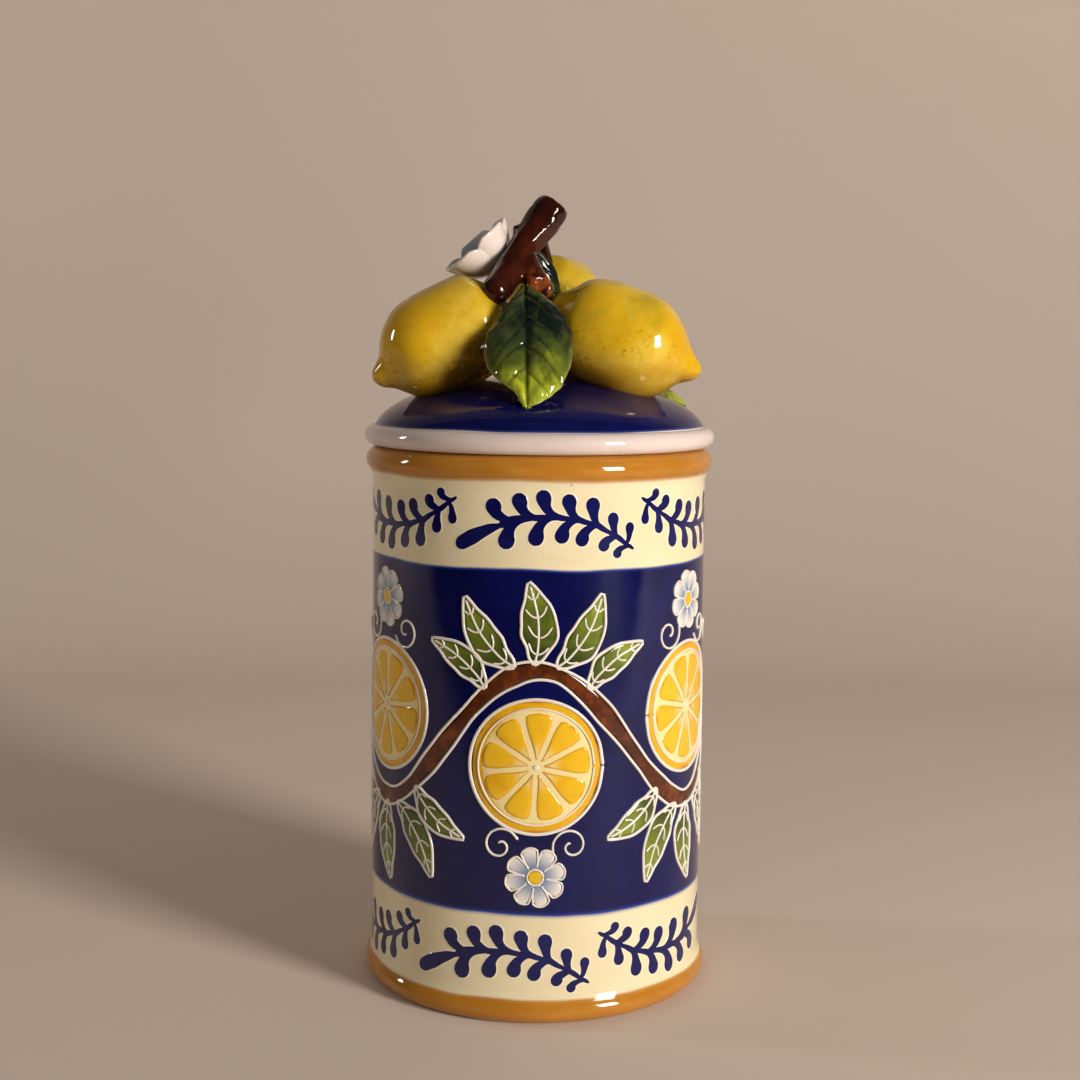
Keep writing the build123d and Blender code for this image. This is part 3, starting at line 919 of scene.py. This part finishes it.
# Sprigs: a stem with round-headed drops above and below, and a paddle leaf at its tail
sprigShape = {
    "stem": [(-13.6, -1.3), (-8.2, 1.2), (-1.7, 1.9), (4.7, 2.1), (10.3, 1.5), (16.0, 0.4), (21.1, -1.6),
             (25.6, -4.1), (29.8, -6.9), (33.6, -9.2)],
    "stemWidths": [(0, 2.0), (0.06, 4.4), (0.14, 3.1), (0.3, 2.5), (0.8, 2.0), (0.94, 1.8), (1, 0.7)],
    "tail": [(-12.0, -0.7), (-16.4, -2.1), (-22.2, -4.9), (-28.4, -8.4)],
    "tailWidths": [(0, 1.6), (0.3, 4.0), (0.62, 5.7), (0.85, 5.4), (1, 4.4)],
    "drops": [
        ((-8.9, 0.8), (-15.0, 5.2), 6.0), ((-0.8, 1.8), (-6.3, 7.3), 5.7), ((6.9, 2.0), (1.6, 8.4), 5.6),
        ((14.0, 1.0), (10.1, 7.1), 5.4), ((20.2, -0.9), (18.2, 5.9), 5.4), ((26.9, -4.7), (25.5, 1.2), 4.5),
        ((30.6, -7.3), (31.9, -1.9), 3.7),
        ((-5.0, 1.4), (-10.6, -5.7), 6.2), ((4.6, 2.1), (-0.8, -4.6), 5.8), ((13.0, 1.2), (7.8, -4.0), 5.4),
        ((19.8, -0.8), (14.6, -5.2), 5.1), ((27.0, -4.8), (22.3, -7.4), 4.5),
        ((31.6, -8.0), (27.3, -10.2), 3.7),
    ],
    "dropWidths": [(0, 0.14), (0.25, 0.36), (0.46, 0.42), (0.62, 0.62), (0.8, 1.0), (1, 1.04)],
    "dropFoot": 0.85, "flippedDrop": 1.2,
    "layers": {
        # how far it grows past the strokes, lift, colour, thin colour
        "sprigHalo": (0.5, 0.03, "halo", "halo"), "sprigNavy": (0.0, 0.09, "navy", "navyThin"),
    },
    "bands": [{"middle": 169.6, "shift": 0.0}, {"middle": 22.6, "shift": -14.0}],
    "round": [(0.0, 1, 1), (67.0, -1, -1), (121.4, 1, 1), (186.6, -1, -1), (241.0, 1, -1), (-59.0, 1, -1)],
}

paintColours = colours(
    navy=(14, 16, 76), navyThin=(28, 32, 100), halo=(240, 230, 200), slip=(238, 232, 222),
    slipThin=(214, 206, 196), rind=(224, 170, 28), rindDeep=(170, 98, 14), pith=(240, 222, 158),
    flesh=(236, 188, 40), fleshDeep=(204, 138, 18), leaf=(118, 136, 40), leafDeep=(44, 58, 22),
    leafPale=(166, 178, 66), petal=(228, 222, 216), petalBlue=(104, 132, 166), heart=(230, 190, 40),
    heartDeep=(178, 120, 22), bark=(74, 34, 18), barkPale=(146, 74, 28), barkDeep=(28, 13, 8),
)


def makePlainPaint(name, colour, thin):
    material, place = newMaterial(name)
    return finishGlaze(material, place, paintColours[colour], paintColours[thin], pool=0.5, waves=0.0003)


def makeBrushedPaint(name, middle, rim, pale, rimWidth, streaks=(1, 1, 1), heart=None, heartReach=0.85):
    # darker where the brush turned at the rim, streaked where it ran dry; heart colours a stroke's start
    middle, rim, pale = (paintColours[colour] for colour in (middle, rim, pale))
    material, place = newMaterial(name)
    edge, = marksOf(place, "edgeDistance")
    sweep = noise(place, 150.0, 4.0, 0.6, stretch=streaks)
    clouds = noise(place, 60.0, 3.0)
    coats = [(spread(sweep, 0.45, 0.72, 0.0, 0.6), pale), (spread(clouds, 0.55, 0.75, 0.0, 0.5), rim)]
    if heart:
        along = axesOf(addNode(place.id_data, "ShaderNodeUVMap", uv_map="UVMap").outputs[0])["Y"]
        coats.append((spread(along, 0.15, heartReach, 1.0, 0.0), paintColours[heart]))
    atRim = spread(swayed(edge, sweep, rimWidth * 2.4), rimWidth * 0.3, rimWidth * 1.6, 0.85, 0.0)
    return finishGlaze(material, place, coated(middle, *coats, (atRim, rim)), pale, pool=0.12, waves=0.0003)


def paintSprig(shape, grow, lift):
    strokes = [
        paintStroke(shape["stem"], shape["stemWidths"], rows=36, columns=4, lift=lift, swell=0.0, grow=grow),
        paintStroke(shape["tail"], shape["tailWidths"], rows=18, lift=lift + 0.01, swell=0.0, grow=grow),
    ]
    for k, (root, head, size) in enumerate(shape["drops"]):
        root, head = Vector(root), Vector(head)
        run = head - root
        footX = min(root.x + shape["dropFoot"] * size, shape["stem"][-1][0])
        foot = Vector((footX, widthAt(shape["stem"], footX)))
        first = root + Vector((run.x * 0.5, run.y * 0.2))
        second = root + Vector((run.x * 0.84, run.y * 0.52))
        end = head + (head - second).normalized() * size / 2
        widths = [(t, 0.5 + share * (size - 0.5)) for t, share in shape["dropWidths"]]
        path = [tuple(place) for place in (foot, root, first, second, head, end)]
        height = lift + 0.01 * (1 + k % 3)
        strokes.append(paintStroke(path, widths, rows=20, lift=height, swell=0.0, grow=grow))
    return joinAll(strokes)


def paintBands(shape):
    places = []
    for band in shape["bands"]:
        for angle, flipX, flipZ in shape["round"]:
            x = radians(angle + band["shift"]) * jarRadius / mm
            places.append((x, band["middle"] - shape["flippedDrop"] * (flipZ < 0), flipX, flipZ))
    for name, (grow, lift, colour, thin) in shape["layers"].items():
        material = makePlainPaint(name, colour, thin)
        layOnJar(repeated(paintSprig(shape, grow, lift), places), name, material, angle=25)


paintBands(sprigShape)
print("sprigs painted")

# Panel: a scrolling vine with a cut citrus wheel in each bend, leaf fans, daisies and curls of slip
panelShape = {
    "middle": 95.6, "bends": 6, "swing": 25.0, "vineWidth": 5.4,
    "wheel": {"z": -7.5, "rind": 22.5, "pith": 19.6, "wedges": 9, "inner": 2.6, "outer": 18.3, "gap": 1.2},
    "leafWidths": [(0, 0.16), (0.14, 0.5), (0.36, 1.0), (0.62, 0.86), (0.85, 0.4), (1, 0.04)],
    "leaves": [
        # foot, how far it bends at its middle, tip, width
        ((-1.0, 27.0), 2.4, (-3.0, 54.5), 12.0), ((-7.5, 26.0), -3.0, (-25.0, 49.0), 11.0),
        ((6.5, 26.0), 3.0, (22.0, 50.5), 11.0), ((17.5, 18.5), -2.5, (38.0, 33.0), 9.0),
        ((-17.5, 18.5), 2.5, (-38.0, 33.5), 9.0),
    ],
    "daisy": {"z": -45.0, "petals": 8, "inner": 2.2, "outer": 10.2, "width": 5.2, "heart": 5.0},
    "curl": {
        # middle, angle where it starts, way round
        "places": [((12.0, -34.5), 200, -1), ((-12.0, -34.5), 20, 1)],
        "points": 14, "reach": 6.6, "step": 0.62,
    },
}


def vineHeight(x, shape):
    period = 2 * tau * jarRadius / mm / shape["bends"]
    return shape["middle"] + shape["swing"] * cos(x / period * tau)


def paintLeaf(foot, belly, tip, width, shape, paint):
    foot, tip = Vector(foot), Vector(tip)
    along = (tip - foot).normalized()
    across = Vector((along.y, -along.x)) * belly
    path = [foot, foot.lerp(tip, 0.35) + across, foot.lerp(tip, 0.72) + across * 0.7, tip]
    widths = [(t, share * width) for t, share in shape["leafWidths"]]
    paint["leaf"].append(paintStroke(path, widths, rows=20, columns=8, swell=0.12, ends=(0, 0)))
    trailSlip(paint, outlineOf(path, widths), rows=64)
    middle = strokeRows(path, 12)[0]
    trailSlip(paint, [middle[k][0].xz for k in (0, 3, 6, 9, 10)], width=0.85)
    for k in range(2, 9, 2):
        place, ahead = middle[k][:2]
        reach = widthAt(widths, 0.09 * (k + 1)) * 0.36
        for side in (-1, 1):
            out = Vector((ahead.z, 0, -ahead.x)) * side * reach
            vein = [place, place + out * 0.55 + ahead * reach * 0.3, place + out + ahead * reach]
            trailSlip(paint, [spot.xz for spot in vein], width=0.7, rows=7)


def paintWheel(wheel, paint):
    middle = Vector((0, wheel["z"]))
    inner, outer, gap = wheel["inner"], wheel["outer"], wheel["gap"]
    for kind, x, rows, lift in (("rind", 0, 34, 0.06), ("pith", 0.3, 30, 0.16)):
        look = {"rows": rows, "columns": rows - 8, "lift": lift, "swell": 0.05}
        paint[kind].append(dab(middle + Vector((x, 0)), wheel[kind], (0, 1), **look))
    chord = sin(pi / wheel["wedges"]) * 2
    widths = [(0, inner * chord * 0.4), (0.8, (outer - 3) * chord - gap), (1, outer * chord - gap * 2)]
    for k in range(wheel["wedges"]):
        out = heading(tau * (k + 0.18) / wheel["wedges"])
        path = [middle + out * reach for reach in (inner, outer / 2, outer)]
        wedge = paintStroke(path, widths, rows=18, columns=8, lift=0.22, swell=0.16, ends=(1, 0.42))
        paint["flesh"].append(wedge)
    for radius, width, rows in ((wheel["rind"] + 0.3, 1.15, 110), (wheel["pith"] + 0.15, 0.7, 90)):
        trailSlip(paint, ring(middle, radius, 16), width=width, rows=rows)
    paint["slip"].append(dab(middle, 0.9, (1, 0), rows=8, lift=0.3, swell=0.3))


def paintDaisy(daisy, paint):
    centre, width, inner, outer = Vector((0, daisy["z"])), daisy["width"], daisy["inner"], daisy["outer"]
    widths = [(0, width * 0.4), (0.55, width * 0.92), (1, width)]
    for k in range(daisy["petals"]):
        out = heading(tau * (k + 0.3) / daisy["petals"])
        path = [centre + out * reach for reach in (inner, (inner + outer) / 2, outer)]
        paint["petal"].append(paintStroke(path, widths, rows=14))
        trailSlip(paint, outlineOf(path, widths, outset=0.1, count=6)[1:-1], width=0.7, rows=26)
    half = daisy["heart"] / 2
    paint["heart"].append(dab(centre, half, (1, 0), rows=14, columns=10, lift=0.24, swell=0.2))
    trailSlip(paint, ring(centre, half + 0.2, 10), width=0.75, rows=30)


def paintCurls(curl, paint):
    for place, start, way in curl["places"]:
        spiral = []
        for k in range(curl["points"]):
            out = heading(radians(start) + k * curl["step"] * way)
            spiral.append(Vector(place) + out * curl["reach"] * (1 - k / (curl["points"] + 1)))
        trailSlip(paint, spiral, width=0.8, rows=34)


def paintVine(shape, paint):
    half, width, steps = pi * jarRadius / mm, shape["vineWidth"], 96
    path = [(x, vineHeight(x, shape)) for x in (-half + 2 * half * k / steps for k in range(steps + 1))]
    widths = [(2 * k / steps, width * (1 + 0.22 * sin(k * 1.7))) for k in range(steps // 2 + 1)]
    widths[-1] = (1, widths[0][1])
    paint["vine"].append(paintStroke(path, widths, rows=300, lift=0.06, ends=(0, 0)))
    for side in (-1, 1):
        edge = []
        for k, (x, z) in enumerate(path):
            slope = Vector((1, (vineHeight(x + 0.1, shape) - vineHeight(x - 0.1, shape)) / 0.2)).normalized()
            out = Vector((slope.y, -slope.x)) * side * (widthAt(widths, k / steps) / 2 + 0.3)
            edge.append(Vector((x, z)) + out)
        line = paintStroke(edge, [(0, 1.0), (1, 1.0)], rows=420, lift=0.16, swell=0.34, ends=(0, 0))
        paint["slip"].append(line)


panelPaints = {
    # piece, middle, rim, pale, and how the brush went
    "vine": ("panelVine", "bark", "barkDeep", "barkPale", {"rimWidth": 0.7}),
    "rind": ("panelRinds", "rind", "rindDeep", "flesh", {"rimWidth": 0.9}),
    "pith": ("panelPiths", "pith", "rind", "pith", {"rimWidth": 0.5}),
    "flesh": ("panelFlesh", "flesh", "fleshDeep", "rind",
              {"rimWidth": 0.6, "heart": "pith", "heartReach": 0.45}),
    "leaf": ("panelLeaves", "leaf", "leafDeep", "leafPale",
             {"rimWidth": 0.8, "streaks": (1, 1, 0.4), "heart": "leafDeep"}),
    "petal": ("panelPetals", "petal", "petal", "petal", {"rimWidth": 0.3, "heart": "petalBlue"}),
    "heart": ("panelHearts", "heart", "heartDeep", "heart", {"rimWidth": 0.5}),
}


def paintPanel(shape, paints):
    kinds = {kind: (piece, makeBrushedPaint(f"{kind}Paint", middle, rim, pale, **brush))
             for kind, (piece, middle, rim, pale, brush) in paints.items()}
    kinds["slip"] = ("panelSlip", makePlainPaint("slipPaint", "slip", "slipThin"))
    unit = {kind: [] for kind in kinds}
    paintWheel(shape["wheel"], unit)
    for foot, belly, tip, width in shape["leaves"]:
        paintLeaf(foot, belly, tip, width, shape, unit)
    paintDaisy(shape["daisy"], unit)
    paintCurls(shape["curl"], unit)
    # every second bend hangs, so its motif is upside down
    pitch, flips = tau * jarRadius / mm / shape["bends"], (-1, 1)
    places = [((k - shape["bends"] / 2) * pitch, shape["middle"], flips[k % 2], flips[k % 2])
              for k in range(shape["bends"])]
    whole = {kind: repeated(joinAll(strokes), places) if strokes else [] for kind, strokes in unit.items()}
    paintVine(shape, whole)
    for kind, (name, material) in kinds.items():
        layOnJar(whole[kind], name, material)


paintPanel(panelShape, panelPaints)
print("panel painted")

# Stage: one pale sweep and soft studio light
stageSetup = {
    **colours(beige=(226, 212, 200), beigeDeep=(218, 204, 192), dim=(34, 30, 28)),
    "dimFrom": (-0.22, -0.4), "size": 8.0, "wallAt": 1.1, "bendRadius": 0.6,
}


def makeStage(setup):
    material, place = newMaterial("backdropPaper", 0.8)
    cloud = spread(noise(place, 1.2, 2.0), 0.3, 0.7)
    # gloss mirrors a dim room in front of the table
    inFront = spread(axesOf(place)["Y"], *setup["dimFrom"])
    mirrored = addNode(place.id_data, "ShaderNodeLightPath").outputs["Is Glossy Ray"]
    dim = times(inFront, mirrored)
    colour = coated(setup["beige"], (cloud, setup["beigeDeep"]), (dim, setup["dim"]))
    feed(shaderOf(material), {"Base Color": colour, "Specular IOR Level": 0.2})
    bpy.ops.mesh.primitive_plane_add(size=setup["size"], location=(0, setup["wallAt"] - setup["size"] / 2, 0))
    sweep = bpy.context.active_object
    selectWhere(sweep, lambda co: co.y > 0)
    bpy.ops.mesh.extrude_region_move(TRANSFORM_OT_translate={"value": (0, 0, setup["size"])})
    selectWhere(sweep, lambda co: co.y > 0 and abs(co.z) < 0.01 * mm)
    bpy.ops.mesh.select_mode(type="EDGE")
    bpy.ops.mesh.bevel(offset=setup["bendRadius"], segments=24, affect="EDGES")
    doneEditing()
    settle(sweep, "sweep", material)


makeStage(stageSetup)

lampSetups = {
    "keyWindow": {"place": (1.13, -0.99, 0.45), "aim": (0, 0, 0.16), "size": (0.34, 0.60), "power": 25.5,
                  "colour": (1.0, 0.92, 0.84)},
    "fillLeft": {"place": (-1.57, 0.26, 0.56), "aim": (0, 0, 0.18), "size": (0.12, 0.34), "power": 3.4,
                 "colour": (1.0, 0.95, 0.90)},
}


def addLamp(name, setup):
    data = bpy.data.lights.new(name, "AREA")
    data.shape = "RECTANGLE"
    data.size, data.size_y = setup["size"]
    data.energy = setup["power"]
    data.color = setup["colour"]
    lamp = linked(name, data)
    lamp.location = setup["place"]
    aim = Vector(setup["aim"]) - Vector(setup["place"])
    lamp.rotation_euler = aim.to_track_quat("-Z", "Y").to_euler()


for lampName, lampSetup in lampSetups.items():
    addLamp(lampName, lampSetup)


def lightWorld(soft=0.24, mirrored=0.045):
    # soft light all round, while gloss mirrors the dim room in front of the backdrop
    world = bpy.data.worlds.new("studio")
    world.use_nodes = True
    tree = world.node_tree
    back = tree.nodes["Background"]
    back.inputs["Color"].default_value = linear(226, 218, 210)
    glossy = addNode(tree, "ShaderNodeLightPath").outputs["Is Glossy Ray"]
    feed(back, {"Strength": calc("MULTIPLY_ADD", glossy, mirrored - soft, soft)})
    bpy.context.scene.world = world


lightWorld()
print("stage set")
